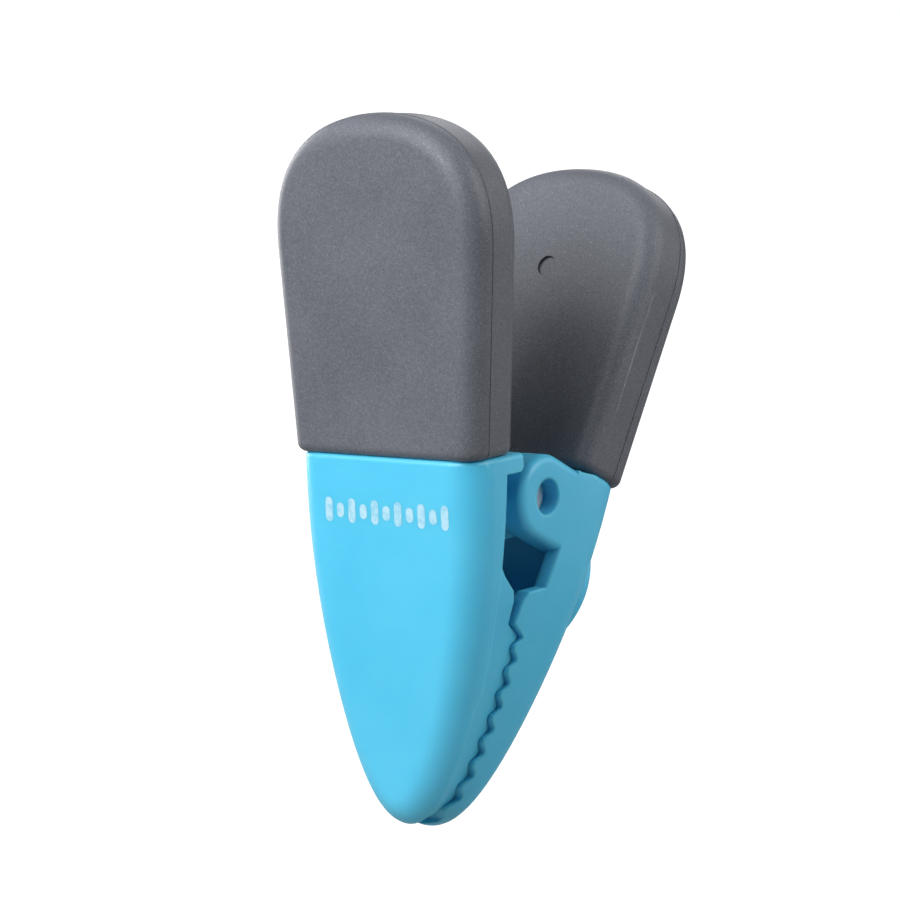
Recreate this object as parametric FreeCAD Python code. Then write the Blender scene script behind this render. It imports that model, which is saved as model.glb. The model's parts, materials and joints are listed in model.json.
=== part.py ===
# A sprung bag clip: two mirrored halves on one steel pin, soft grips on the handles,
# meshing teeth along the jaws and a magnet in the rear half's back.
# Millimetres, +Z up. The front half stands upright and faces -Y; the rear half leans back.
# Each half is drawn in its own frame: X across, Y inwards from the outer face, Z up from the
# bottom of the grip. The row's origin is the middle of the magnet's outer face.
import math
import os

import FreeCAD
import Part

V = FreeCAD.Vector

# the two halves
half_angle = 13.9          # lean of each half from the plane where the jaws meet, degrees
pivot_depth = 17.5         # pin axis below the outer face
pivot_drop = 7.0           # pin axis below the grip

# soft grip
grip_length = 48.0
grip_half_width = 16.6     # at the bottom
grip_taper = 0.072         # widening per unit of height
grip_side_height = 28.8    # where the straight side ends
grip_side_pull = 14.0      # how far the crown's curve keeps the side's direction
grip_top_pull = 11.1       # how far it keeps the top's direction
grip_thickness = 11.0
grip_front_round = 3.3
grip_back_round = 3.2
grip_draft = 0.3           # how much narrower each side is at the inner face
grip_seam_depth = 3.8      # mould line round the side
grip_seam_proud = 0.1
grip_seam_width = 0.22
grip_corner_round = 1.3
grip_wall = 2.3            # soft skin over the core
grip_mark_radius = 1.6     # round mark on the inner face
grip_mark_height = 31.0
grip_mark_recess = 0.5

# jaw shell
jaw_length = 53.8
jaw_half_width = 16.4
jaw_widest = -3.2          # height of the widest place
jaw_side_radius = 120.0
jaw_curve_top = -34.0      # below this the side curves in to the tip
jaw_side_pull = 14.2       # how far that curve keeps the side's direction
jaw_tip_pull = 4.8         # how far it keeps the tip's direction
jaw_curve_radius = 10.0    # the curve's typical radius, for outlines moved in
jaw_inset = 0.45           # outer face behind the grip's face
jaw_edge_round = 4.7
jaw_round_share = 0.87     # the most it can be, as a share of the outline's tightest bend
jaw_bend_samples = 60      # places where the bend is measured
jaw_shoulder_round = 0.7
jaw_plate = 2.1
jaw_wall = 2.2
jaw_top_plate = 2.6
jaw_ledge_depth = 12.0     # reach of the top plate
jaw_core_round = 1.0

# front jaw's side: a rim, and a toothed part set in from it
rim_depth = 8.3            # at the top
rim_slope = 0.08
rim_step = 0.75
rim_notch = -34.0          # height where the rim narrows
rim_notch_size = 1.0

# teeth
tooth_pitch = 3.3
tooth_height = 1.3         # crest to root
tooth_gap = 0.3            # between the two rows when closed
tooth_first = -26.5        # top of the toothed length
tooth_rib = 1.5            # rib under each crest
tooth_samples = 8          # points in one wave

# side edges between the pivot and the teeth, as (depth, height) from the top down
front_throat = [(8.9, -17.3), (11.1, -19.7), (11.3, -21.2), (10.5, -24.4)]
front_throat_top = -12.5   # the toothed part starts here, behind the rim
front_throat_lap = 2.0     # how far down it follows the rim
rear_throat = [(11.3, -18.6), (14.4, -20.3), (15.0, -22.0), (14.9, -25.2)]
rear_wall_foot = -14.0     # the rear wall runs down past the cheek to here
rear_corner_depth = 7.0    # the rear wall's top corner is cut back to here
rear_corner_side = 10.0    # only this far out, clear of the spring's leg
rear_wall_lap = 0.5        # and the toothed part starts this far inside the cheek

# pivot
pin_radius = 2.5
hole_gap = 0.1             # the cheek's hole is this much wider than the pin at its mouth
pin_squeeze = 0.02         # rear cheeks grip the pin
pin_running = 0.08         # front ears turn on the pin
pin_recess = 2.5           # pin end below the cheek's face
pin_end_round = 0.6
cheek_thickness = 4.6
cheek_radius = 6.0
cheek_edge_round = 1.2
ear_thickness = 3.8
ear_radius = 5.8
ear_side_gap = 0.3

# spring
wire_radius = 0.65
coil_gap = 0.6             # inside of the coil to the pin
coil_pitch = 1.5
coil_turns = 7             # whole turns
leg_gap = 0.03             # leg to the ledge it presses on, at rest
leg_length = 9.0

# magnet
boss_wall = 2.2            # round the magnet's seat
boss_height = 3.5
boss_drop = 14.1           # boss centre below the grip
boss_round = 0.5
magnet_radius = 9.8
magnet_thickness = 4.0
magnet_proud = 0.2
magnet_seat_gap = 0.1
magnet_chamfer = 0.4

# sizes that follow from the ones above
coil_radius = pin_radius + coil_gap + wire_radius
seat_radius = magnet_radius + magnet_seat_gap
boss_radius = seat_radius + boss_wall

far = 60.0                 # past every surface of a half
over = 1.0                 # overlap of a cutter past the face that it cuts
tiny = 0.01                # two positions closer than this are the same


def middle(height):
    """Depth of the plane where the jaws meet, at a height in a half's frame."""
    apex = pivot_drop + pivot_depth / math.tan(math.radians(half_angle))
    return (apex + height) * math.tan(math.radians(half_angle))


def mirrored(p):
    """The point on the other side of the middle plane X = 0."""
    return V(-p.x, p.y, p.z)


def prism_along_x(points, x_low, x_high):
    """A closed outline of (depth, height) points, stretched along X."""
    wire = Part.makePolygon([V(x_low, d, h) for d, h in points + points[:1]])
    return Part.Face(wire).extrude(V(x_high - x_low, 0, 0))


def grip_outline(inset, depth, bottom=0.0):
    """The arched handle outline at one depth, as a wire."""
    half = grip_half_width - inset
    top = grip_length - inset
    side = V(half + grip_taper * grip_side_height, depth, grip_side_height - inset)
    foot = V(half + grip_taper * bottom, depth, bottom)
    pull = V(side.x + grip_taper * grip_side_pull, depth, side.z + grip_side_pull)
    level = V(grip_top_pull, depth, top)
    crown = V(0, depth, top)

    right = Part.BezierCurve()
    right.setPoles([side, pull, level, crown])
    left = Part.BezierCurve()
    left.setPoles([crown, mirrored(level), mirrored(pull), mirrored(side)])
    edges = [
        Part.makeLine(foot, side),
        right.toShape(),
        left.toShape(),
        Part.makeLine(mirrored(side), mirrored(foot)),
        Part.makeLine(mirrored(foot), foot),
    ]
    return Part.Wire(edges)


def rim_edges(solid, depth, low):
    """Edges of a solid that lie wholly at one depth and rise above a height."""
    found = []
    for edge in solid.Edges:
        box = edge.BoundBox
        flat = box.YLength < tiny and abs(box.YMax - depth) < tiny
        if flat and box.ZMax > low:
            found.append(edge)
    return found


def handle_core():
    """The hard tongue inside the grip, down to the jaw's top plate."""
    wire = grip_outline(grip_wall, grip_wall, -jaw_top_plate / 2)
    core = Part.Face(wire).extrude(V(0, grip_thickness - 2 * grip_wall, 0))
    ends = rim_edges(core, grip_wall, over) + rim_edges(core, grip_thickness - grip_wall, over)
    return core.makeFillet(jaw_core_round, ends)


def round_foot(solid):
    """Rounds the two upright corners at the grip's foot."""
    corners = []
    for edge in solid.Edges:
        box = edge.BoundBox
        beside = abs(abs(box.Center.x) - grip_half_width) < grip_draft + grip_seam_proud
        if box.ZMax < tiny and beside and box.YLength > tiny and box.XLength < grip_draft + tiny:
            corners.append(edge)
    return solid.makeFillet(grip_corner_round, corners)


def make_grip():
    outer = grip_outline(0.0, 0.0)
    seam = grip_outline(0.0, grip_seam_depth)
    inner = grip_outline(grip_draft, grip_thickness)
    front = Part.makeLoft([outer, seam], True, True)
    back = Part.makeLoft([seam, inner], True, True)
    front = front.makeFillet(grip_front_round, rim_edges(front, 0.0, over))
    back = back.makeFillet(grip_back_round, rim_edges(back, grip_thickness, over))
    body = round_foot(front.fuse(back).removeSplitter())
    bead = Part.Face(grip_outline(-grip_seam_proud, grip_seam_depth))
    bead = round_foot(bead.extrude(V(0, grip_seam_width, 0)))
    mark_depth = grip_thickness - grip_mark_recess
    mark = Part.makeCylinder(
        grip_mark_radius, over, V(0, mark_depth, grip_mark_height), V(0, 1, 0)
    )
    return body.fuse(bead).cut(mark).cut(handle_core())


def jaw_outline(inset, depth, top=0.0):
    """The tapering jaw outline at one depth, moved in by an inset, as a wire."""
    centre_x = jaw_half_width - jaw_side_radius
    radius = jaw_side_radius - inset
    lean = math.asin((jaw_curve_top - jaw_widest) / jaw_side_radius)
    shrink = 1.0 - inset / jaw_curve_radius

    def on_side(angle):
        x = centre_x + radius * math.cos(angle)
        return V(x, depth, jaw_widest + radius * math.sin(angle))

    shoulder_angle = math.asin((top - jaw_widest) / radius)
    shoulder = on_side(shoulder_angle)
    waist = on_side((shoulder_angle + lean) / 2)
    bend = on_side(lean)
    side_pull = jaw_side_pull * shrink
    pull = bend + V(side_pull * math.sin(lean), 0, -side_pull * math.cos(lean))
    level = V(jaw_tip_pull * shrink, depth, inset - jaw_length)
    tip = V(0, depth, inset - jaw_length)
    right = Part.BezierCurve()
    right.setPoles([bend, pull, level, tip])
    left = Part.BezierCurve()
    left.setPoles([tip, mirrored(level), mirrored(pull), mirrored(bend)])
    edges = [
        Part.Arc(shoulder, waist, bend).toShape(),
        right.toShape(),
        left.toShape(),
        Part.Arc(mirrored(bend), mirrored(waist), mirrored(shoulder)).toShape(),
        Part.makeLine(mirrored(shoulder), shoulder),
    ]
    return Part.Wire(edges)


def tooth_line(phase):
    """(depth, height) points of the wavy edge, from its top to past the tip."""
    tilt = math.radians(half_angle)
    count = int(math.ceil((jaw_length + 6.0 + tooth_first) / tooth_pitch)) * tooth_samples
    points = []
    for i in range(count + 1):
        height = tooth_first - i * tooth_pitch / tooth_samples
        wave = tooth_height / 2 * math.cos(2 * math.pi * i / tooth_samples + phase)
        step = wave - tooth_gap / 2
        points.append((middle(height) + step * math.cos(tilt), height - step * math.sin(tilt)))
    return points


def toothed_side(upper, phase, back):
    """Side view of a half's toothed part: the upper points, the teeth, then the back edge."""
    teeth = tooth_line(phase)
    lowest = teeth[-1][1]
    curve = Part.BSplineCurve()
    curve.interpolate([V(-far, d, h) for d, h in teeth])
    first = teeth[0]
    last = teeth[-1]
    outline = [last, (back, lowest), (back, upper[0][1])] + upper + [first]
    line = Part.makePolygon([V(-far, d, h) for d, h in outline])
    face = Part.Face(Part.Wire(line.Edges + [curve.toShape()]))
    return face.extrude(V(2 * far, 0, 0))


def edge_round():
    """The outer edges' rounding, held below the tightest bend of the outline."""
    curved = [e for e in jaw_outline(0.0, jaw_inset).Edges if e.Curve.TypeId == "Part::GeomBezierCurve"]
    start, end = curved[0].ParameterRange
    step = (end - start) / jaw_bend_samples
    sharpest = max(curved[0].Curve.curvature(start + step * i) for i in range(jaw_bend_samples + 1))
    return min(jaw_edge_round, jaw_round_share / sharpest)


def full_jaw(inset):
    """The jaw's outline stretched inwards, with its outer edges rounded."""
    solid = Part.Face(jaw_outline(inset, jaw_inset)).extrude(V(0, far / 2, 0))
    outer = [e for e in rim_edges(solid, jaw_inset, -far) if e.BoundBox.ZLength > tiny]
    return solid.makeFillet(edge_round() - inset, outer)


def jaw_pocket():
    """The hollow behind the outer plate."""
    wire = jaw_outline(jaw_wall, jaw_inset + jaw_plate, -jaw_top_plate)
    return Part.Face(wire).extrude(V(0, far / 2, 0))


def tooth_ribs(side, phase):
    """Cross ribs under the tooth crests, cut to the side view."""
    first_crest = -phase / (2 * math.pi) % 1.0
    tilt = math.sin(math.radians(half_angle)) * tooth_height / 2
    root = jaw_inset + jaw_plate / 2
    ribs = []
    height = tooth_first - first_crest * tooth_pitch
    while height > -jaw_length + jaw_tip_pull:
        corner = V(-far, root, height - tilt - tooth_rib / 2)
        ribs.append(Part.makeBox(2 * far, far / 2, tooth_rib, corner))
        height -= tooth_pitch
    bars = Part.makeCompound(ribs)
    return bars.common(side)


def stadium(radius, x_low, x_high):
    """A plate from the outer plate to a round end about the pin."""
    root = jaw_inset + jaw_plate / 2
    plate = Part.makeBox(
        x_high - x_low, pivot_depth - root, 2 * radius, V(x_low, root, -pivot_drop - radius)
    )
    end = Part.makeCylinder(
        radius, x_high - x_low, V(x_low, pivot_depth, -pivot_drop), V(1, 0, 0)
    )
    return plate.fuse(end).removeSplitter()


def top_ledge():
    """The plate under the grip, with its inner edge rounded below."""
    ledge = Part.makeBox(
        2 * far, jaw_ledge_depth - jaw_inset, jaw_top_plate, V(-far, jaw_inset, -jaw_top_plate)
    )
    low = []
    for edge in ledge.Edges:
        box = edge.BoundBox
        if box.YMin > jaw_ledge_depth - tiny and box.ZMax < tiny - jaw_top_plate:
            low.append(edge)
    return ledge.makeFillet(jaw_top_plate / 3, low)


def along_pin(radius, x_low, x_high):
    """A cylinder on the pin's axis."""
    return Part.makeCylinder(
        radius, x_high - x_low, V(x_low, pivot_depth, -pivot_drop), V(1, 0, 0)
    )


def soften_shoulder(jaw):
    """Rounds the jaw's outer edge just under the grip."""
    edges = []
    for edge in jaw.Edges:
        box = edge.BoundBox
        if box.ZMin > -tiny and box.ZMax < tiny:
            outer_side = abs(box.Center.x) > jaw_half_width - jaw_edge_round - over
            outer_face = box.YMax < jaw_inset + tiny
            if outer_side or outer_face:
                edges.append(edge)
    return jaw.makeFillet(jaw_shoulder_round, edges)


def rim_at(height):
    """Depth of the front rim's edge at a height."""
    return rim_depth + rim_slope * height


def make_front_jaw():
    foot = -jaw_length - over
    below_notch = rim_notch - 2 * rim_notch_size
    rim = [
        (jaw_inset - over, 0.0),
        (rim_depth, 0.0),
        (rim_at(rim_notch), rim_notch),
        (rim_at(below_notch) - rim_notch_size, below_notch),
        (rim_at(foot) - rim_notch_size, foot),
        (jaw_inset - over, foot),
    ]
    lap = front_throat_top - front_throat_lap
    upper = [(rim_at(front_throat_top), front_throat_top), (rim_at(lap), lap)] + front_throat
    phase = 0.0
    side = toothed_side(upper, phase, jaw_inset + over)
    cap = full_jaw(0.0).common(prism_along_x(rim, -far, far))
    cap = cap.fuse(full_jaw(0.0).common(top_ledge()))
    carrier = full_jaw(rim_step).common(side)
    shell = cap.fuse(carrier).cut(jaw_pocket())
    shell = shell.fuse(tooth_ribs(side, phase).common(full_jaw(rim_step)))
    ear_outer = jaw_half_width - cheek_thickness - ear_side_gap
    for x_low in (ear_outer - ear_thickness, -ear_outer):
        shell = shell.fuse(stadium(ear_radius, x_low, x_low + ear_thickness))
    shell = soften_shoulder(shell.removeSplitter())
    shell = shell.fuse(handle_core())
    shell = shell.cut(along_pin(pin_radius + pin_running, -far, far))
    return shell.removeSplitter()


def cheek(side):
    """The rear half's plate round the pin, its outer edge rounded; side is 1 or -1."""
    inner = jaw_half_width - cheek_thickness
    plate = stadium(cheek_radius, inner, jaw_half_width + over)
    plate = full_jaw(0.0).common(plate)
    rounded = []
    for edge in plate.Edges:
        box = edge.BoundBox
        if box.XMin > inner + tiny and box.YMax > jaw_edge_round + over:
            if box.YLength > tiny or box.ZLength > tiny:
                rounded.append(edge)
    plate = plate.makeFillet(cheek_edge_round, rounded)
    if side < 0:
        return plate.mirror(V(0, 0, 0), V(1, 0, 0))
    return plate


def make_rear_jaw():
    throat_depth = rear_throat[0][0]
    lap = -pivot_drop - cheek_radius + rear_wall_lap
    phase = math.pi
    side = toothed_side([(throat_depth, lap)] + rear_throat, phase, jaw_inset - over)
    wall = [
        (jaw_inset - over, 0.0),
        (throat_depth, 0.0),
        (throat_depth, rear_wall_foot),
        (jaw_inset - over, rear_wall_foot),
    ]
    whole = full_jaw(0.0)
    shell = whole.common(prism_along_x(wall, -far, far)).fuse(whole.common(side))
    shell = shell.fuse(whole.common(top_ledge()))
    shell = shell.cut(jaw_pocket())
    shell = shell.fuse(tooth_ribs(side, phase).common(full_jaw(rim_step)))
    corner = [
        (rear_corner_depth, 0.0),
        (jaw_ledge_depth + over, 0.0),
        (jaw_ledge_depth + over, cheek_radius - pivot_drop),
        (throat_depth, cheek_radius - pivot_drop),
    ]
    shell = shell.cut(prism_along_x(corner, rear_corner_side, far))
    shell = shell.cut(prism_along_x(corner, -far, -rear_corner_side))
    for side_sign in (1, -1):
        shell = shell.fuse(cheek(side_sign))
    boss_at = V(0, jaw_inset - boss_height, -boss_drop)
    boss = Part.makeCylinder(boss_radius, boss_height + 2 * jaw_plate, boss_at, V(0, 1, 0))
    boss = boss.makeFillet(boss_round, rim_edges(boss, boss_at.y, -far))
    shell = soften_shoulder(shell.removeSplitter())
    shell = shell.fuse(boss)
    seat = Part.makeCylinder(seat_radius, magnet_thickness - magnet_proud, boss_at, V(0, 1, 0))
    shell = shell.cut(seat).fuse(handle_core())
    shell = shell.cut(along_pin(pin_radius - pin_squeeze, -far, far))
    mouth = jaw_half_width - pin_recess
    shell = shell.cut(along_pin(pin_radius + hole_gap, mouth, far))
    shell = shell.cut(along_pin(pin_radius + hole_gap, -far, -mouth))
    return shell.removeSplitter()


def make_pin():
    end = jaw_half_width - pin_recess
    pin = along_pin(pin_radius, -end, end)
    return pin.makeFillet(pin_end_round, [e for e in pin.Edges if e.BoundBox.XLength < tiny])


def make_magnet():
    at = V(0, jaw_inset - boss_height - magnet_proud, -boss_drop)
    disc = Part.makeCylinder(magnet_radius, magnet_thickness, at, V(0, 1, 0))
    return disc.makeChamfer(magnet_chamfer, [e for e in disc.Edges if e.BoundBox.YLength < tiny])


def place_rear(shape):
    """Carries a half drawn in the half's frame to the rear side of the pin."""
    moved = shape.copy()
    pin = V(0, pivot_depth, -pivot_drop)
    moved.rotate(pin, V(0, 0, 1), 180.0)
    moved.rotate(pin, V(1, 0, 0), -2 * half_angle)
    return moved


def leg_lean():
    """Lean of a leg that leaves the coil and just clears the top of its ledge, degrees."""
    across = pivot_depth - jaw_ledge_depth
    reach = math.hypot(across, pivot_drop)
    clear = coil_radius + wire_radius + leg_gap
    return math.degrees(math.acos(clear / reach) - math.atan2(pivot_drop, across))


def make_spring():
    """Coil about the pin, with a leg up to the inner edge of each half's ledge."""
    front_angle = 180.0 + leg_lean()
    rear_angle = 2 * (90.0 - half_angle) - front_angle
    length = (coil_turns + (rear_angle - front_angle + 360.0) / 360.0) * coil_pitch
    helix = Part.makeHelix(coil_pitch, length, coil_radius, 0, True)
    helix.rotate(V(0, 0, 0), V(1, 1, 1), 120.0)
    helix.rotate(V(0, 0, 0), V(1, 0, 0), rear_angle)
    lead = coil_pitch / (2 * math.pi)

    def on_coil(x, angle):
        turn = math.radians(angle)
        point = V(x, coil_radius * math.cos(turn), coil_radius * math.sin(turn))
        along = V(lead, coil_radius * math.sin(turn), -coil_radius * math.cos(turn))
        return point, along.normalize()

    start, start_along = on_coil(0.0, rear_angle)
    end, end_along = on_coil(length, front_angle)
    section = Part.Wire(Part.makeCircle(wire_radius, start, start_along))
    spring = Part.Wire(helix.Edges).makePipeShell([section], True, True)
    spring = spring.fuse(Part.makeCylinder(wire_radius, leg_length, start, -start_along))
    spring = spring.fuse(Part.makeCylinder(wire_radius, leg_length, end, end_along))
    spring.translate(V(-length / 2, pivot_depth, -pivot_drop))
    return spring.removeSplitter()


def main():
    parts = {
        "front_jaw": make_front_jaw(),
        "front_grip": make_grip(),
        "rear_jaw": place_rear(make_rear_jaw()),
        "rear_grip": place_rear(make_grip()),
        "pivot_pin": make_pin(),
        "torsion_spring": make_spring(),
        "magnet": place_rear(make_magnet()),
    }
    face = V(0, jaw_inset - boss_height - magnet_proud, -boss_drop)
    origin = place_rear(Part.Vertex(face)).Point
    os.makedirs("parts", exist_ok=True)
    for name, shape in parts.items():
        shape.translate(-origin)
        shape.exportStep("parts/" + name + ".step")


main()
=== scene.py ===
import json
import math

import bpy
from mathutils import Matrix, Vector


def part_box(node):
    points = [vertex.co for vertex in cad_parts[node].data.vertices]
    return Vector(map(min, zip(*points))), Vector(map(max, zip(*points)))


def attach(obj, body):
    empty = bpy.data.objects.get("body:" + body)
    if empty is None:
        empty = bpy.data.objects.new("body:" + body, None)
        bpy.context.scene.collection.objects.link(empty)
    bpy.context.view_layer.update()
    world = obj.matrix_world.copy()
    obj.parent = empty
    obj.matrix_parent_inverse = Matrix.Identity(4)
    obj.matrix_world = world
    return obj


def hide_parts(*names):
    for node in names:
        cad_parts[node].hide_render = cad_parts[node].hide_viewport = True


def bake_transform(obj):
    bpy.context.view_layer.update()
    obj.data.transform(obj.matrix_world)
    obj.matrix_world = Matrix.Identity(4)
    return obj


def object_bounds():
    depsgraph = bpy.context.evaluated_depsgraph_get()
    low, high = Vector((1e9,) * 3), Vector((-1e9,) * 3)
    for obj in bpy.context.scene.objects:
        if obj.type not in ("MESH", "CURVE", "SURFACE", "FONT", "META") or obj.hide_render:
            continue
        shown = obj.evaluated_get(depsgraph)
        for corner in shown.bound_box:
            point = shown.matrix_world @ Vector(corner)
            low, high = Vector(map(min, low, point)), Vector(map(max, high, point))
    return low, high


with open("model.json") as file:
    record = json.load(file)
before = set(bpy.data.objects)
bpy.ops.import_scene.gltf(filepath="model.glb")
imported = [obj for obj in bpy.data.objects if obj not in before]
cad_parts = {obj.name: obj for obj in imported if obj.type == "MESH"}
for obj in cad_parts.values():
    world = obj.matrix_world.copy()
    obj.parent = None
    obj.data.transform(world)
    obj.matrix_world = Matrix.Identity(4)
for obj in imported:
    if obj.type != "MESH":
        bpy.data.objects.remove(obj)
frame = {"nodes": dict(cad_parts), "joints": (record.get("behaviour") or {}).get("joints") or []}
cadLow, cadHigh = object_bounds()
nodes = frame["nodes"]
scene = bpy.context.scene
mm = 0.001
noiseLow, noiseHigh = 0.3, 0.7  # where nearly all of a noise texture's values lie
waveStep = math.tau / 20  # a wave texture at this scale has one ring in each unit of length
pinCentre = Vector(frame["joints"][0]["pos_m"])  # the squeeze turns about the pin
print("frame loaded:", len(nodes), "nodes")


def hexLinear(text, alpha=1.0):
    # sRGB hex to the linear colour that a socket takes
    parts = [int(text[i:i + 2], 16) / 255 for i in (1, 3, 5)]
    linear = [c / 12.92 if c <= 0.04045 else ((c + 0.055) / 1.055) ** 2.4 for c in parts]
    return (*linear, alpha)


def perMm(size):
    return 1000.0 / size  # texture scale for a feature of this many millimetres


def addNode(tree, kind, sockets=None, **settings):
    # settings are the node's own values, sockets its inputs: a constant, or the output that feeds it
    node = tree.nodes.new(kind)
    for name, value in settings.items():
        setattr(node, name, value)
    for name, value in (sockets or {}).items():
        if isinstance(value, bpy.types.NodeSocket):
            tree.links.new(value, node.inputs[name])
        else:
            node.inputs[name].default_value = value
    return node


def newMaterial(name):
    material = bpy.data.materials.new(name)
    material.use_nodes = True
    material.node_tree.nodes.clear()
    place = addNode(material.node_tree, "ShaderNodeTexCoord").outputs["Object"]
    return material, material.node_tree, place


def finishMaterial(tree, shader):
    addNode(tree, "ShaderNodeOutputMaterial", {"Surface": shader.outputs["BSDF"]})


def rampStops(node, stops):
    # colour stops of a ramp, as (position, colour)
    elements = node.color_ramp.elements
    while len(elements) < len(stops):
        elements.new(1.0)
    for element, (position, colour) in zip(elements, stops):
        element.position = position
        element.color = colour
    return node.outputs["Color"]


def setMaterial(obj, material):
    obj.data.materials.clear()
    obj.data.materials.append(material)


jawLook = {
    "deep": "#4DC0E6",
    "pale": "#56C5EA",
    "flowSize": 14.0,     # mm between flow bands
    "peelSize": 1.1,      # orange peel left by the mould
    "peelDepth": 0.02,
    "grainSize": 0.32,    # real grain is near 0.05, drawn coarser so that it shows
    "grainDepth": 0.006,
    "satin": (0.36, 0.46),
    "scuffSize": 0.25,
    "scuffRun": 0.06,     # scuffs are drawn out by one over this
    "scuffFrom": (0.58, 0.75),
    "scuffRough": 0.06,
    "glow": 0.35,         # light that goes under the surface and comes out bluer
    "glowReach": (0.25, 0.9, 1.2),
    "glowDepth": 2.2,
    "crispEdge": 0.3,     # the front half's edges are almost sharp
    "softEdge": 0.7,      # the rear half's are eased
    "ior": 1.54,
}


def makeJawPlastic(look, name, edgeKey):
    # moulded ABS: an even satin gloss with faint orange peel, so highlights are soft and a little broken
    material, tree, place = newMaterial(name)
    flow = addNode(tree, "ShaderNodeTexNoise", {
        "Vector": place, "Scale": perMm(look["flowSize"]), "Detail": 2.0, "Distortion": 0.8})
    colour = rampStops(addNode(tree, "ShaderNodeValToRGB", {"Fac": flow.outputs["Fac"]}), [
        (0.3, hexLinear(look["deep"])), (0.7, hexLinear(look["pale"]))])
    peel = addNode(tree, "ShaderNodeTexNoise", {
        "Vector": place, "Scale": perMm(look["peelSize"]), "Detail": 1.0})
    grain = addNode(tree, "ShaderNodeTexNoise", {
        "Vector": place, "Scale": perMm(look["grainSize"]), "Detail": 3.0, "Roughness": 0.7})
    streak = addNode(tree, "ShaderNodeMapping", {
        "Vector": place, "Rotation": (0.2, 0.5, 0.3), "Scale": (1.0, 1.0, look["scuffRun"])})
    scuff = addNode(tree, "ShaderNodeTexNoise", {
        "Vector": streak.outputs["Vector"], "Scale": perMm(look["scuffSize"]), "Detail": 2.0})
    scuffed = addNode(tree, "ShaderNodeMapRange", {
        "Value": scuff.outputs["Fac"], "From Min": look["scuffFrom"][0], "From Max": look["scuffFrom"][1],
        "To Min": 0.0, "To Max": look["scuffRough"]})
    satin = addNode(tree, "ShaderNodeMapRange", {
        "Value": grain.outputs["Fac"], "From Min": noiseLow, "From Max": noiseHigh,
        "To Min": look["satin"][0], "To Max": look["satin"][1]})
    rough = addNode(tree, "ShaderNodeMath", {
        0: satin.outputs["Result"], 1: scuffed.outputs["Result"]}, operation="ADD")
    edge = addNode(tree, "ShaderNodeBevel", {"Radius": look[edgeKey] * mm}, samples=6)
    peelBump = addNode(tree, "ShaderNodeBump", {
        "Strength": 0.35, "Distance": look["peelDepth"] * mm, "Height": peel.outputs["Fac"],
        "Normal": edge.outputs["Normal"]})
    bump = addNode(tree, "ShaderNodeBump", {
        "Strength": 0.25, "Distance": look["grainDepth"] * mm, "Height": grain.outputs["Fac"],
        "Normal": peelBump.outputs["Normal"]})
    shader = addNode(tree, "ShaderNodeBsdfPrincipled", {
        "Base Color": colour, "Roughness": rough.outputs["Value"], "Normal": bump.outputs["Normal"],
        "IOR": look["ior"], "Subsurface Weight": look["glow"], "Subsurface Radius": look["glowReach"],
        "Subsurface Scale": look["glowDepth"] * mm})
    finishMaterial(tree, shader)
    return material


gripLook = {
    "dark": "#51545B",
    "pale": "#6A6D76",
    "fleck": "#9FA0A8",
    "smudgeSize": 16.0,
    "smudgeShare": 0.35,
    "grainSize": 0.24,    # mould grain, really about 0.08, drawn as coarse as it shows
    "grainDepth": 0.02,
    "dry": (0.44, 0.54),
    "fleckSize": 0.21,    # mica flakes, drawn at twice their size
    "fleckShare": 0.9,    # flakes that don't catch the light
    "fleckGlint": 0.6,
    "ior": 1.42,
}


def makeSoftGrip(look):
    # soft-touch TPE with mica: a dry grey that never shines, with pin-prick glints
    material, tree, place = newMaterial("soft touch TPE with mica")
    smudge = addNode(tree, "ShaderNodeTexNoise", {
        "Vector": place, "Scale": perMm(look["smudgeSize"]), "Detail": 3.0})
    grain = addNode(tree, "ShaderNodeTexNoise", {
        "Vector": place, "Scale": perMm(look["grainSize"]), "Detail": 2.0, "Roughness": 0.6})
    blendShare = addNode(tree, "ShaderNodeMath", {
        0: smudge.outputs["Fac"], 1: look["smudgeShare"], 2: grain.outputs["Fac"]},
        operation="MULTIPLY_ADD")
    body = rampStops(addNode(tree, "ShaderNodeValToRGB", {"Fac": blendShare.outputs["Value"]}), [
        (0.45, hexLinear(look["dark"])), (0.9, hexLinear(look["pale"]))])
    flake = addNode(tree, "ShaderNodeTexVoronoi", {
        "Vector": place, "Scale": perMm(look["fleckSize"]), "Randomness": 1.0})
    chance = addNode(tree, "ShaderNodeSeparateColor", {"Color": flake.outputs["Color"]})
    lit = addNode(tree, "ShaderNodeMath", {
        0: chance.outputs["Red"], 1: look["fleckShare"]}, operation="GREATER_THAN")
    near = addNode(tree, "ShaderNodeMapRange", {
        "Value": flake.outputs["Distance"], "From Min": 0.1, "From Max": 0.5,
        "To Min": look["fleckGlint"], "To Max": 0.0})
    share = addNode(tree, "ShaderNodeMath", {
        0: lit.outputs["Value"], 1: near.outputs["Result"]}, operation="MULTIPLY")
    colour = addNode(tree, "ShaderNodeMix", {
        "Factor": share.outputs["Value"], 6: body, 7: hexLinear(look["fleck"])}, data_type="RGBA")
    rough = addNode(tree, "ShaderNodeMapRange", {
        "Value": smudge.outputs["Fac"], "From Min": noiseLow, "From Max": noiseHigh,
        "To Min": look["dry"][0], "To Max": look["dry"][1]})
    bump = addNode(tree, "ShaderNodeBump", {
        "Strength": 0.5, "Distance": look["grainDepth"] * mm, "Height": grain.outputs["Fac"]})
    shader = addNode(tree, "ShaderNodeBsdfPrincipled", {
        "Base Color": colour.outputs[2], "Roughness": rough.outputs["Result"],
        "Metallic": share.outputs["Value"], "Normal": bump.outputs["Normal"], "IOR": look["ior"]})
    finishMaterial(tree, shader)
    return material


pinLook = {
    "bright": "#F0F0F0",
    "dull": "#CFD2D6",
    "ringSize": 3.14,     # mm between rings, wide so that they show as one soft band
    "ringDepth": 0.01,
    "hazeSize": 1.2,
    "turned": (0.42, 0.55),
}


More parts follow.
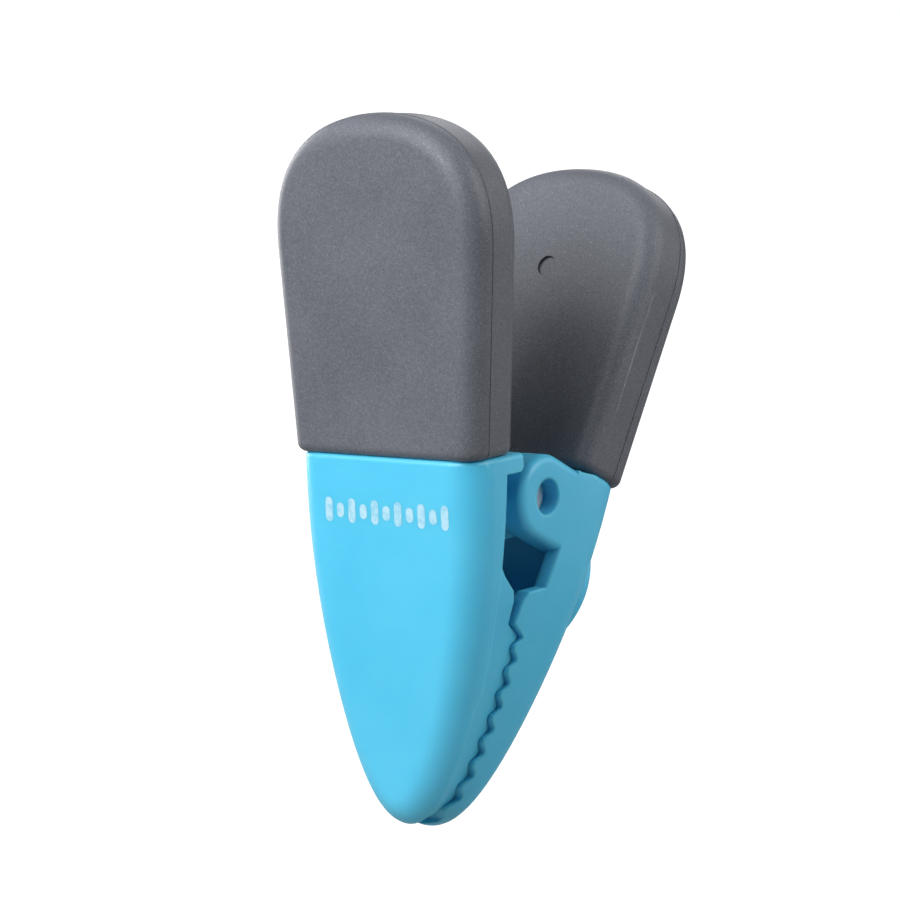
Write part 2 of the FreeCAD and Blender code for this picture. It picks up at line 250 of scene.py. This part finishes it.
def makePinSteel(look):
    # turned steel: broad rings about the axis break the end's shine a little
    material, tree, place = newMaterial("turned steel")
    centred = addNode(tree, "ShaderNodeMapping", {
        "Vector": place, "Location": -pinCentre})
    rings = addNode(tree, "ShaderNodeTexWave", {
        "Vector": centred.outputs["Vector"], "Scale": perMm(look["ringSize"]) * waveStep, "Distortion": 0.4,
        "Detail": 2.0}, wave_type="RINGS", rings_direction="X")
    haze = addNode(tree, "ShaderNodeTexNoise", {
        "Vector": place, "Scale": perMm(look["hazeSize"]), "Detail": 3.0})
    colour = rampStops(addNode(tree, "ShaderNodeValToRGB", {"Fac": haze.outputs["Fac"]}), [
        (0.35, hexLinear(look["dull"])), (0.65, hexLinear(look["bright"]))])
    rough = addNode(tree, "ShaderNodeMapRange", {
        "Value": rings.outputs["Fac"], "To Min": look["turned"][0], "To Max": look["turned"][1]})
    bump = addNode(tree, "ShaderNodeBump", {
        "Strength": 0.4, "Distance": look["ringDepth"] * mm, "Height": rings.outputs["Fac"]})
    shader = addNode(tree, "ShaderNodeBsdfPrincipled", {
        "Base Color": colour, "Metallic": 1.0, "Roughness": rough.outputs["Result"],
        "Normal": bump.outputs["Normal"]})
    finishMaterial(tree, shader)
    return material


wireLook = {
    "bright": "#B4B4B2",
    "dark": "#7F807F",
    "drawn": (3.0, 40.0, 1.0),   # lines along the wire's whole length, and round it
    "lineDepth": 0.01,
    "filmSize": 2.5,
    "oiled": (0.24, 0.42),
}


def makeWireSteel(look):
    # drawn spring wire: fine lines along the wire and a thin film of oil
    material, tree, place = newMaterial("drawn spring wire")
    along = addNode(tree, "ShaderNodeUVMap", uv_map="wireUv").outputs["UV"]
    stretched = addNode(tree, "ShaderNodeMapping", {"Vector": along, "Scale": look["drawn"]})
    lines = addNode(tree, "ShaderNodeTexNoise", {
        "Vector": stretched.outputs["Vector"], "Scale": 1.0, "Detail": 3.0})
    film = addNode(tree, "ShaderNodeTexNoise", {
        "Vector": place, "Scale": perMm(look["filmSize"]), "Detail": 2.0})
    colour = rampStops(addNode(tree, "ShaderNodeValToRGB", {"Fac": film.outputs["Fac"]}), [
        (0.3, hexLinear(look["dark"])), (0.7, hexLinear(look["bright"]))])
    rough = addNode(tree, "ShaderNodeMapRange", {
        "Value": lines.outputs["Fac"], "From Min": noiseLow, "From Max": noiseHigh,
        "To Min": look["oiled"][0], "To Max": look["oiled"][1]})
    bump = addNode(tree, "ShaderNodeBump", {
        "Strength": 0.35, "Distance": look["lineDepth"] * mm, "Height": lines.outputs["Fac"]})
    shader = addNode(tree, "ShaderNodeBsdfPrincipled", {
        "Base Color": colour, "Metallic": 1.0, "Roughness": rough.outputs["Result"],
        "Normal": bump.outputs["Normal"]})
    finishMaterial(tree, shader)
    return material


ferriteLook = {
    "dark": "#2B2B2E",
    "pale": "#434347",
    "gritSize": 0.22,
    "lineSize": 0.35,
    "depth": 0.03,
    "ground": (0.42, 0.6),
    "ior": 1.9,
}


def makeFerrite(look):
    # sintered ferrite: nearly black stone, with straight grinding lines on its face
    material, tree, place = newMaterial("sintered ferrite")
    grit = addNode(tree, "ShaderNodeTexNoise", {
        "Vector": place, "Scale": perMm(look["gritSize"]), "Detail": 4.0, "Roughness": 0.7})
    turned = addNode(tree, "ShaderNodeMapping", {
        "Vector": place, "Rotation": (0.0, 0.4, 0.0), "Scale": (1.0, 0.03, 0.03)})
    lines = addNode(tree, "ShaderNodeTexNoise", {
        "Vector": turned.outputs["Vector"], "Scale": perMm(look["lineSize"]), "Detail": 3.0})
    both = addNode(tree, "ShaderNodeMath", {
        0: grit.outputs["Fac"], 1: lines.outputs["Fac"]}, operation="MULTIPLY")
    colour = rampStops(addNode(tree, "ShaderNodeValToRGB", {"Fac": both.outputs["Value"]}), [
        (0.15, hexLinear(look["dark"])), (0.4, hexLinear(look["pale"]))])
    rough = addNode(tree, "ShaderNodeMapRange", {
        "Value": lines.outputs["Fac"], "From Min": noiseLow, "From Max": noiseHigh,
        "To Min": look["ground"][0], "To Max": look["ground"][1]})
    bump = addNode(tree, "ShaderNodeBump", {
        "Strength": 0.5, "Distance": look["depth"] * mm, "Height": both.outputs["Value"]})
    shader = addNode(tree, "ShaderNodeBsdfPrincipled", {
        "Base Color": colour, "Roughness": rough.outputs["Result"], "Normal": bump.outputs["Normal"],
        "IOR": look["ior"]})
    finishMaterial(tree, shader)
    return material


inkLook = {"solid": "#AFD8E8", "thin": "#8CC8E0", "patchSize": 0.9, "depth": 0.01, "matt": 0.48, "ior": 1.5}


def makeInk(look):
    # pad-printed ink: chalky and a little thin in places, so the blue shows through
    material, tree, place = newMaterial("pad printed ink")
    patch = addNode(tree, "ShaderNodeTexNoise", {
        "Vector": place, "Scale": perMm(look["patchSize"]), "Detail": 4.0})
    colour = rampStops(addNode(tree, "ShaderNodeValToRGB", {"Fac": patch.outputs["Fac"]}), [
        (0.35, hexLinear(look["thin"])), (0.6, hexLinear(look["solid"]))])
    bump = addNode(tree, "ShaderNodeBump", {
        "Strength": 0.3, "Distance": look["depth"] * mm, "Height": patch.outputs["Fac"]})
    shader = addNode(tree, "ShaderNodeBsdfPrincipled", {
        "Base Color": colour, "Roughness": look["matt"], "Normal": bump.outputs["Normal"],
        "IOR": look["ior"]})
    finishMaterial(tree, shader)
    return material


crispPlastic = makeJawPlastic(jawLook, "moulded ABS, crisp edges", "crispEdge")
easedPlastic = makeJawPlastic(jawLook, "moulded ABS, eased edges", "softEdge")
softGrip = makeSoftGrip(gripLook)
pinSteel = makePinSteel(pinLook)
wireSteel = makeWireSteel(wireLook)
ferrite = makeFerrite(ferriteLook)
ink = makeInk(inkLook)
setMaterial(nodes["front_jaw"], crispPlastic)
setMaterial(nodes["rear_jaw"], easedPlastic)
for name in ("front_grip", "rear_grip"):
    setMaterial(nodes[name], softGrip)
setMaterial(nodes["pivot_pin"], pinSteel)
setMaterial(nodes["magnet"], ferrite)
print("materials made:", len(bpy.data.materials))


def newTree(name, inputs):
    # a geometry tree with named inputs, as (name, socket kind, starting value)
    tree = bpy.data.node_groups.new(name, "GeometryNodeTree")
    tree.interface.new_socket("Geometry", in_out="INPUT", socket_type="NodeSocketGeometry")
    tree.interface.new_socket("Geometry", in_out="OUTPUT", socket_type="NodeSocketGeometry")
    for label, kind, value in inputs:
        socket = tree.interface.new_socket(label, in_out="INPUT", socket_type=kind)
        if value is not None:
            socket.default_value = value
    return tree, addNode(tree, "NodeGroupInput")


def runTree(name, mesh, tree, values):
    # runs a tree on a mesh and keeps the result as a plain mesh object at the origin
    holder = bpy.data.objects.new(name + "Source", mesh)
    scene.collection.objects.link(holder)
    modifier = holder.modifiers.new("build", "NODES")
    modifier.node_group = tree
    for item in tree.interface.items_tree:
        if item.item_type == "SOCKET" and item.in_out == "INPUT" and item.name in values:
            modifier[item.identifier] = values[item.name]
    made = bpy.data.meshes.new_from_object(holder.evaluated_get(bpy.context.evaluated_depsgraph_get()))
    bpy.data.objects.remove(holder)
    obj = bpy.data.objects.new(name, made)
    scene.collection.objects.link(obj)
    return obj


springSize = {
    "wireRadius": 0.65,
    "coilRadius": 3.75,
    "pitch": 1.5,
    "frontAngle": 188.31,   # where the front leg leaves the coil, degrees about the pin
    "rearAngle": -36.11,
    "turns": 7,
    "legLength": 9.0,
    "step": 9.0,            # degrees of coil between path points
    "sides": 20,
}


def springPath(size):
    # points along the wire's middle: rear leg, coil, front leg
    pin = pinCentre / mm
    sweep = size["frontAngle"] - size["rearAngle"] - 360.0 * (size["turns"] + 1)
    length = -sweep / 360.0 * size["pitch"]
    lead = size["pitch"] / math.tau
    radius = size["coilRadius"]

    def onCoil(share):
        turn = math.radians(size["rearAngle"] + sweep * share)
        spot = Vector((length * (share - 0.5), radius * math.cos(turn), radius * math.sin(turn)))
        ahead = Vector((lead, radius * math.sin(turn), -radius * math.cos(turn))).normalized()
        return pin + spot, ahead

    count = round(abs(sweep) / size["step"])
    start, startAhead = onCoil(0.0)
    end, endAhead = onCoil(1.0)
    leg = size["legLength"]
    coil = [onCoil(i / count)[0] for i in range(count + 1)]
    along = (0.25, 0.5, 0.75, 1.0)
    rear = [start - startAhead * leg * s for s in reversed(along)]
    front = [end + endAhead * leg * s for s in along]
    return [p * mm for p in rear + coil + front], start.x * mm, end.x * mm


def wireTree():
    tree, given = newTree("wire along a path", [
        ("Wire radius", "NodeSocketFloat", 0.001),
        ("Sides", "NodeSocketInt", 16),
        ("Material", "NodeSocketMaterial", None)])
    line = addNode(tree, "GeometryNodeMeshToCurve", {"Mesh": given.outputs["Geometry"]})
    lengthwise = addNode(tree, "GeometryNodeSplineParameter")
    kept = addNode(tree, "GeometryNodeCaptureAttribute", {"Geometry": line.outputs["Curve"]})
    kept.capture_items.new("FLOAT", "along")
    tree.links.new(lengthwise.outputs["Factor"], kept.inputs["along"])
    ring = addNode(tree, "GeometryNodeCurvePrimitiveCircle", {
        "Resolution": given.outputs["Sides"], "Radius": given.outputs["Wire radius"]})
    around = addNode(tree, "GeometryNodeSplineParameter")
    ringKept = addNode(tree, "GeometryNodeCaptureAttribute", {"Geometry": ring.outputs["Curve"]})
    ringKept.capture_items.new("FLOAT", "around")
    tree.links.new(around.outputs["Factor"], ringKept.inputs["around"])
    tube = addNode(tree, "GeometryNodeCurveToMesh", {
        "Curve": kept.outputs["Geometry"], "Profile Curve": ringKept.outputs["Geometry"],
        "Fill Caps": True})
    uv = addNode(tree, "ShaderNodeCombineXYZ", {"X": kept.outputs["along"], "Y": ringKept.outputs["around"]})
    stored = addNode(tree, "GeometryNodeStoreNamedAttribute", {
        "Geometry": tube.outputs["Mesh"], "Name": "wireUv", "Value": uv.outputs["Vector"]},
        data_type="FLOAT2", domain="CORNER")
    smooth = addNode(tree, "GeometryNodeSetShadeSmooth", {"Geometry": stored.outputs["Geometry"]})
    real = addNode(tree, "GeometryNodeRealizeInstances", {"Geometry": smooth.outputs["Geometry"]})
    painted = addNode(tree, "GeometryNodeSetMaterial", {
        "Geometry": real.outputs["Geometry"], "Material": given.outputs["Material"]})
    addNode(tree, "NodeGroupOutput", {"Geometry": painted.outputs["Geometry"]})
    return tree


def makeSpring(size):
    points, rearX, frontX = springPath(size)
    line = bpy.data.meshes.new("springLine")
    line.from_pydata(points, [(i, i + 1) for i in range(len(points) - 1)], [])
    spring = runTree("spring_wire", line, wireTree(), {
        "Wire radius": size["wireRadius"] * mm, "Sides": size["sides"], "Material": wireSteel})
    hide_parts("torsion_spring")
    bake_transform(spring)
    return spring


springObject = makeSpring(springSize)
print("spring made:", len(springObject.data.polygons), "faces")


markSize = {
    "sunk": 0.01,           # how far the bars start inside the jaw's face
    "middle": (0.6, 15.0),  # across, up
    "count": 11,
    "pitch": 2.1,
    "barWidth": 1.3,
    "tall": 3.5,
    "short": 2.1,
    "thickness": 0.03,
}


def barTree():
    tree, given = newTree("row of rounded bars", [
        ("Count", "NodeSocketInt", 9),
        ("Pitch", "NodeSocketFloat", 0.002),
        ("Bar width", "NodeSocketFloat", 0.001),
        ("Tall", "NodeSocketFloat", 0.003),
        ("Short", "NodeSocketFloat", 0.002),
        ("Thickness", "NodeSocketFloat", 0.0001),
        ("Start", "NodeSocketVector", (0.0, 0.0, 0.0)),
        ("Material", "NodeSocketMaterial", None)])
    step = addNode(tree, "ShaderNodeCombineXYZ", {"X": given.outputs["Pitch"]})
    row = addNode(tree, "GeometryNodeMeshLine", {
        "Count": given.outputs["Count"], "Start Location": given.outputs["Start"],
        "Offset": step.outputs["Vector"]}, mode="OFFSET")
    parts = []
    for label, wanted in (("Tall", 0.0), ("Short", 1.0)):
        outline = addNode(tree, "GeometryNodeCurvePrimitiveQuadrilateral", {
            "Width": given.outputs["Bar width"], "Height": given.outputs[label]})
        half = addNode(tree, "ShaderNodeMath", {
            0: given.outputs["Bar width"], 1: 0.499}, operation="MULTIPLY")  # a hair under half
        rounded = addNode(tree, "GeometryNodeFilletCurve", {
            "Curve": outline.outputs["Curve"], "Radius": half.outputs["Value"], "Count": 10}, mode="POLY")
        filled = addNode(tree, "GeometryNodeFillCurve", {"Curve": rounded.outputs["Curve"]})
        thick = addNode(tree, "GeometryNodeExtrudeMesh", {
            "Mesh": filled.outputs["Mesh"], "Offset Scale": given.outputs["Thickness"], "Individual": False})
        back = addNode(tree, "GeometryNodeFlipFaces", {"Mesh": filled.outputs["Mesh"]})
        bar = addNode(tree, "GeometryNodeJoinGeometry")
        tree.links.new(back.outputs["Mesh"], bar.inputs["Geometry"])
        tree.links.new(thick.outputs["Mesh"], bar.inputs["Geometry"])
        welded = addNode(tree, "GeometryNodeMergeByDistance", {
            "Geometry": bar.outputs["Geometry"], "Distance": 0.001 * mm})
        index = addNode(tree, "GeometryNodeInputIndex")
        odd = addNode(tree, "ShaderNodeMath", {0: index.outputs["Index"], 1: 2.0}, operation="MODULO")
        picked = addNode(tree, "ShaderNodeMath", {
            0: odd.outputs["Value"], 1: wanted, 2: 0.1}, operation="COMPARE")
        placed = addNode(tree, "GeometryNodeInstanceOnPoints", {
            "Points": row.outputs["Mesh"], "Selection": picked.outputs["Value"],
            "Instance": welded.outputs["Geometry"], "Rotation": (math.pi / 2, 0.0, 0.0)})
        parts.append(placed.outputs["Instances"])
    joined = addNode(tree, "GeometryNodeJoinGeometry")
    for part in parts:
        tree.links.new(part, joined.inputs["Geometry"])
    real = addNode(tree, "GeometryNodeRealizeInstances", {"Geometry": joined.outputs["Geometry"]})
    painted = addNode(tree, "GeometryNodeSetMaterial", {
        "Geometry": real.outputs["Geometry"], "Material": given.outputs["Material"]})
    addNode(tree, "NodeGroupOutput", {"Geometry": painted.outputs["Geometry"]})
    return tree


def makeMark(size):
    across, up = size["middle"]
    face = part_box("front_jaw")[0].y / mm + size["sunk"]
    start = Vector((across - size["pitch"] * (size["count"] - 1) / 2, face, up)) * mm
    values = {"Count": size["count"], "Start": start, "Material": ink}
    for label, key in (("Pitch", "pitch"), ("Bar width", "barWidth"), ("Tall", "tall"),
                       ("Short", "short"), ("Thickness", "thickness")):
        values[label] = size[key] * mm
    mark = runTree("print_mark", bpy.data.meshes.new("markPoints"), barTree(), values)
    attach(mark, "front_half")
    return mark


markObject = makeMark(markSize)
print("printed mark made:", len(markObject.data.polygons), "faces")


target = Vector((0.0, -1.15, 20.606)) * mm  # the lights and the camera stand round this point


def outFrom(azimuth, elevation):
    # unit vector from the object: azimuth 0 is in front, 90 on the right
    a, e = math.radians(azimuth), math.radians(elevation)
    return Vector((math.sin(a) * math.cos(e), -math.cos(a) * math.cos(e), math.sin(e)))


stageLook = {
    "drop": 60.0,         # mm from the object's lowest point to the floor
    "size": 40.0,         # m
    "tone": "#8C8C8A",
    "matt": (0.75, 0.9),
    "mottleSize": 80.0,
    "glow": 0.92,         # share of the floor that is seen as plain white
    "glowPower": 1.25,
    "world": "#FFFFFF",
    "ambient": 0.04,
}


def makeFloor(look):
    half = look["size"] / 2
    level = cadLow.z - look["drop"] * mm
    mesh = bpy.data.meshes.new("floor")
    mesh.from_pydata([(-half, -half, level), (half, -half, level), (half, half, level), (-half, half, level)],
                     [], [(0, 1, 2, 3)])
    floor = bpy.data.objects.new("studio_floor", mesh)
    scene.collection.objects.link(floor)
    material, tree, place = newMaterial("painted studio floor")
    mottle = addNode(tree, "ShaderNodeTexNoise", {
        "Vector": place, "Scale": perMm(look["mottleSize"]), "Detail": 2.0})
    rough = addNode(tree, "ShaderNodeMapRange", {
        "Value": mottle.outputs["Fac"], "To Min": look["matt"][0], "To Max": look["matt"][1]})
    paint = addNode(tree, "ShaderNodeBsdfPrincipled", {
        "Base Color": hexLinear(look["tone"]), "Roughness": rough.outputs["Result"]})
    glow = addNode(tree, "ShaderNodeEmission", {
        "Color": hexLinear(look["world"]), "Strength": look["glowPower"]})
    seen = addNode(tree, "ShaderNodeLightPath")
    share = addNode(tree, "ShaderNodeMath", {
        0: seen.outputs["Is Camera Ray"], 1: look["glow"]}, operation="MULTIPLY")
    both = addNode(tree, "ShaderNodeMixShader", {
        "Fac": share.outputs["Value"], 1: paint.outputs["BSDF"], 2: glow.outputs["Emission"]})
    addNode(tree, "ShaderNodeOutputMaterial", {"Surface": both.outputs["Shader"]})
    setMaterial(floor, material)
    return floor


def makeWorld(look):
    # white behind the object, and a softer white all round that lights it
    world = bpy.data.worlds.new("studio")
    world.use_nodes = True
    tree = world.node_tree
    tree.nodes.clear()
    seen = addNode(tree, "ShaderNodeLightPath")
    strength = addNode(tree, "ShaderNodeMapRange", {
        "Value": seen.outputs["Is Camera Ray"], "To Min": look["ambient"], "To Max": 1.0})
    sky = addNode(tree, "ShaderNodeBackground", {
        "Color": hexLinear(look["world"]), "Strength": strength.outputs["Result"]})
    addNode(tree, "ShaderNodeOutputWorld", {"Surface": sky.outputs["Background"]})
    scene.world = world


lightValues = {
    # azimuth, elevation, distance m, width m, height m, watts
    "key": (-16.0, 31.0, 0.5, 0.36, 0.34, 2.25),
    "near": (6.0, 38.0, 0.5, 0.22, 0.26, 0.9),
    "high": (-30.0, 58.0, 0.6, 0.35, 0.3, 1.0),
    "fill": (110.0, 30.0, 0.5, 0.3, 0.34, 1.45),
    "edge": (-100.0, 12.0, 0.6, 0.25, 0.4, 2.0),
    "back": (200.0, 30.0, 0.7, 0.4, 0.4, 1.3),
    "rim": (150.0, 12.0, 0.6, 0.14, 0.5, 0.55),
}


def makeLights(values):
    for name, (azimuth, elevation, distance, width, height, watts) in values.items():
        data = bpy.data.lights.new(name, "AREA")
        data.shape = "RECTANGLE"
        data.size = width
        data.size_y = height
        data.energy = watts
        light = bpy.data.objects.new(name + "_light", data)
        scene.collection.objects.link(light)
        out = outFrom(azimuth, elevation)
        turn = out.to_track_quat("Z", "Y").to_matrix().to_4x4()
        light.matrix_world = Matrix.Translation(target + out * distance) @ turn


cameraValues = {
    # degrees and mm
    "azimuth": 38.518,
    "elevation": 7.539,
    "roll": 2.231,
    "distance": 496.7,
    "aside": -9.497,
    "above": -0.209,
    "focal": 134.53,
    "sensor": 36.0,
}


def makeCamera(values):
    out = outFrom(values["azimuth"], values["elevation"])
    across = Vector((-out.y, out.x, 0.0)).normalized()
    up = out.cross(across)
    roll = math.radians(values["roll"])
    right = across * math.cos(roll) - up * math.sin(roll)
    top = across * math.sin(roll) + up * math.cos(roll)
    place = target + (across * values["aside"] + up * values["above"] + out * values["distance"]) * mm
    data = bpy.data.cameras.new("studio")
    data.sensor_width = values["sensor"]
    data.lens = values["focal"]
    data.clip_start = 0.01
    data.clip_end = 20.0
    camera = bpy.data.objects.new("camera", data)
    scene.collection.objects.link(camera)
    turn = Matrix((right, top, out)).transposed().to_4x4()
    camera.matrix_world = Matrix.Translation(place) @ turn
    scene.camera = camera


makeFloor(stageLook)
makeWorld(stageLook)
makeLights(lightValues)
makeCamera(cameraValues)
scene.view_settings.view_transform = "Standard"
print("stage made")
